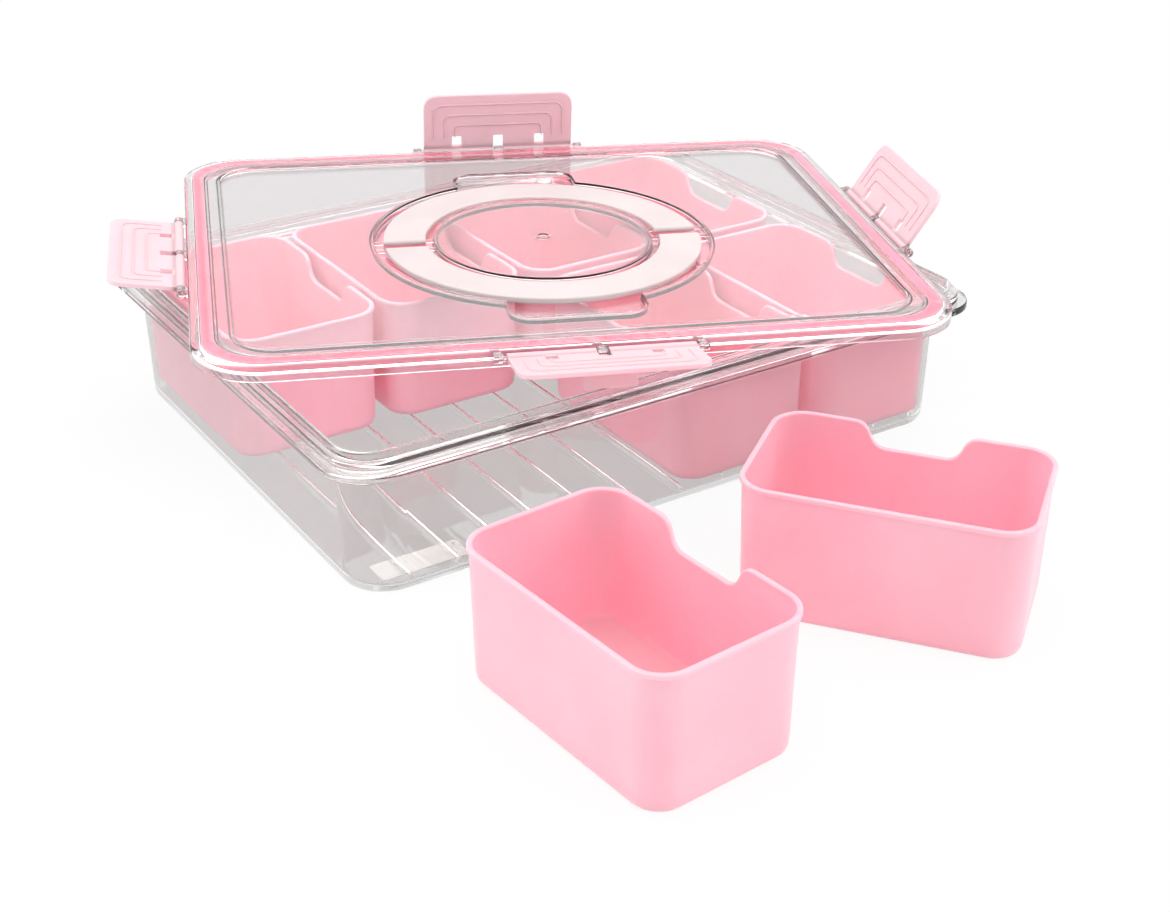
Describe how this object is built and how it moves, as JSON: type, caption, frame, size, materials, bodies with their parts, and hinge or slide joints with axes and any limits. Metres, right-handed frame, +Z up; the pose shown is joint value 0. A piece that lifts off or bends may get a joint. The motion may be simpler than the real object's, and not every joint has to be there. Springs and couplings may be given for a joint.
{
  "type": "divided snack box",
  "caption": "Clear divided tray with pink lift-out bins and a clear lift-off lid with flip latches and a split carrying ring, lid lying askew.",
  "frame": {"origin": "centre of the tray's flat underside", "axes": "+X along the tray's long side, +Y to its back short way, +Z up"},
  "size_m": [0.4498, 0.5522, 0.1253],
  "materials": {
    "clear_tray": "clear polished plastic",
    "clear_lid": "clear polished plastic",
    "pad": "pale frosted plastic",
    "bin_pink": "satin pink plastic",
    "seal_pink": "soft pink seal",
    "latch_pink": "satin light pink plastic",
    "handle_white": "satin white plastic"
  },
  "bodies": {
    "tray": {"tray": "clear_tray", "pad_front_left": "pad", "pad_back_left": "pad", "pad_front_right": "pad", "pad_back_right": "pad"},
    "bin_back_1": {"bin_back_1": "bin_pink"},
    "bin_back_2": {"bin_back_2": "bin_pink"},
    "bin_back_3": {"bin_back_3": "bin_pink"},
    "bin_back_4": {"bin_back_4": "bin_pink"},
    "bin_front_3": {"bin_front_3": "bin_pink"},
    "bin_front_4": {"bin_front_4": "bin_pink"},
    "bin_loose_near": {"bin_loose_near": "bin_pink"},
    "bin_loose_right": {"bin_loose_right": "bin_pink"},
    "lid": {"lid": "clear_lid", "lid_seal": "seal_pink"},
    "latch_front": {"latch_front": "latch_pink"},
    "latch_right": {"latch_right": "latch_pink"},
    "latch_back": {"latch_back": "latch_pink"},
    "latch_left": {"latch_left": "latch_pink"},
    "handle_front": {"handle_front": "handle_white"},
    "handle_back": {"handle_back": "handle_white"}
  },
  "joints": [
    {"name": "lid_lift", "type": "slide", "parent": "tray", "child": "lid", "axis": [0, 0, 1], "range_m": [0, 0.12]},
    {"name": "bin_back_1_lift", "type": "slide", "parent": "tray", "child": "bin_back_1", "axis": [0, 0, 1], "range_m": [0, 0.005]},
    {"name": "bin_back_2_lift", "type": "slide", "parent": "tray", "child": "bin_back_2", "axis": [0, 0, 1], "range_m": [0, 0.005]},
    {"name": "bin_back_3_lift", "type": "slide", "parent": "tray", "child": "bin_back_3", "axis": [0, 0, 1], "range_m": [0, 0.005]},
    {"name": "bin_back_4_lift", "type": "slide", "parent": "tray", "child": "bin_back_4", "axis": [0, 0, 1], "range_m": [0, 0.005]},
    {"name": "bin_front_3_lift", "type": "slide", "parent": "tray", "child": "bin_front_3", "axis": [0, 0, 1], "range_m": [0, 0.005]},
    {"name": "bin_front_4_lift", "type": "slide", "parent": "tray", "child": "bin_front_4", "axis": [0, 0, 1], "range_m": [0, 0.005]},
    {"name": "bin_loose_near_lift", "type": "slide", "parent": "tray", "child": "bin_loose_near", "axis": [0, 0, 1], "range_m": [0, 0.12]},
    {"name": "bin_loose_right_lift", "type": "slide", "parent": "tray", "child": "bin_loose_right", "axis": [0, 0, 1], "range_m": [0, 0.12]},
    {"name": "latch_front_hinge", "type": "hinge", "parent": "lid", "child": "latch_front", "pos_m": [-0.03983, -0.12753, 0.08845], "axis": [-0.933, 0.3591, 0.022], "range_deg": [0, 95]},
    {"name": "latch_right_hinge", "type": "hinge", "parent": "lid", "child": "latch_right", "pos_m": [0.19617, -0.05377, 0.08419], "axis": [-0.3592, -0.9333, 0], "range_deg": [-68, 47]},
    {"name": "latch_back_hinge", "type": "hinge", "parent": "lid", "child": "latch_back", "pos_m": [0.07051, 0.15917, 0.08845], "axis": [0.933, -0.3591, -0.022], "range_deg": [-112, 13]},
    {"name": "latch_left_hinge", "type": "hinge", "parent": "lid", "child": "latch_left", "pos_m": [-0.16548, 0.08541, 0.09271], "axis": [0.3592, 0.9333, 0], "range_deg": [-12, 97]},
    {"name": "handle_front_hinge", "type": "hinge", "parent": "lid", "child": "handle_front", "pos_m": [0.01316, 0.01023, 0.08725], "axis": [-0.933, 0.3591, 0.022], "range_deg": [0, 90]},
    {"name": "handle_back_hinge", "type": "hinge", "parent": "lid", "child": "handle_back", "pos_m": [0.01748, 0.02143, 0.08725], "axis": [0.933, -0.3591, -0.022], "range_deg": [0, 90]}
  ]
}
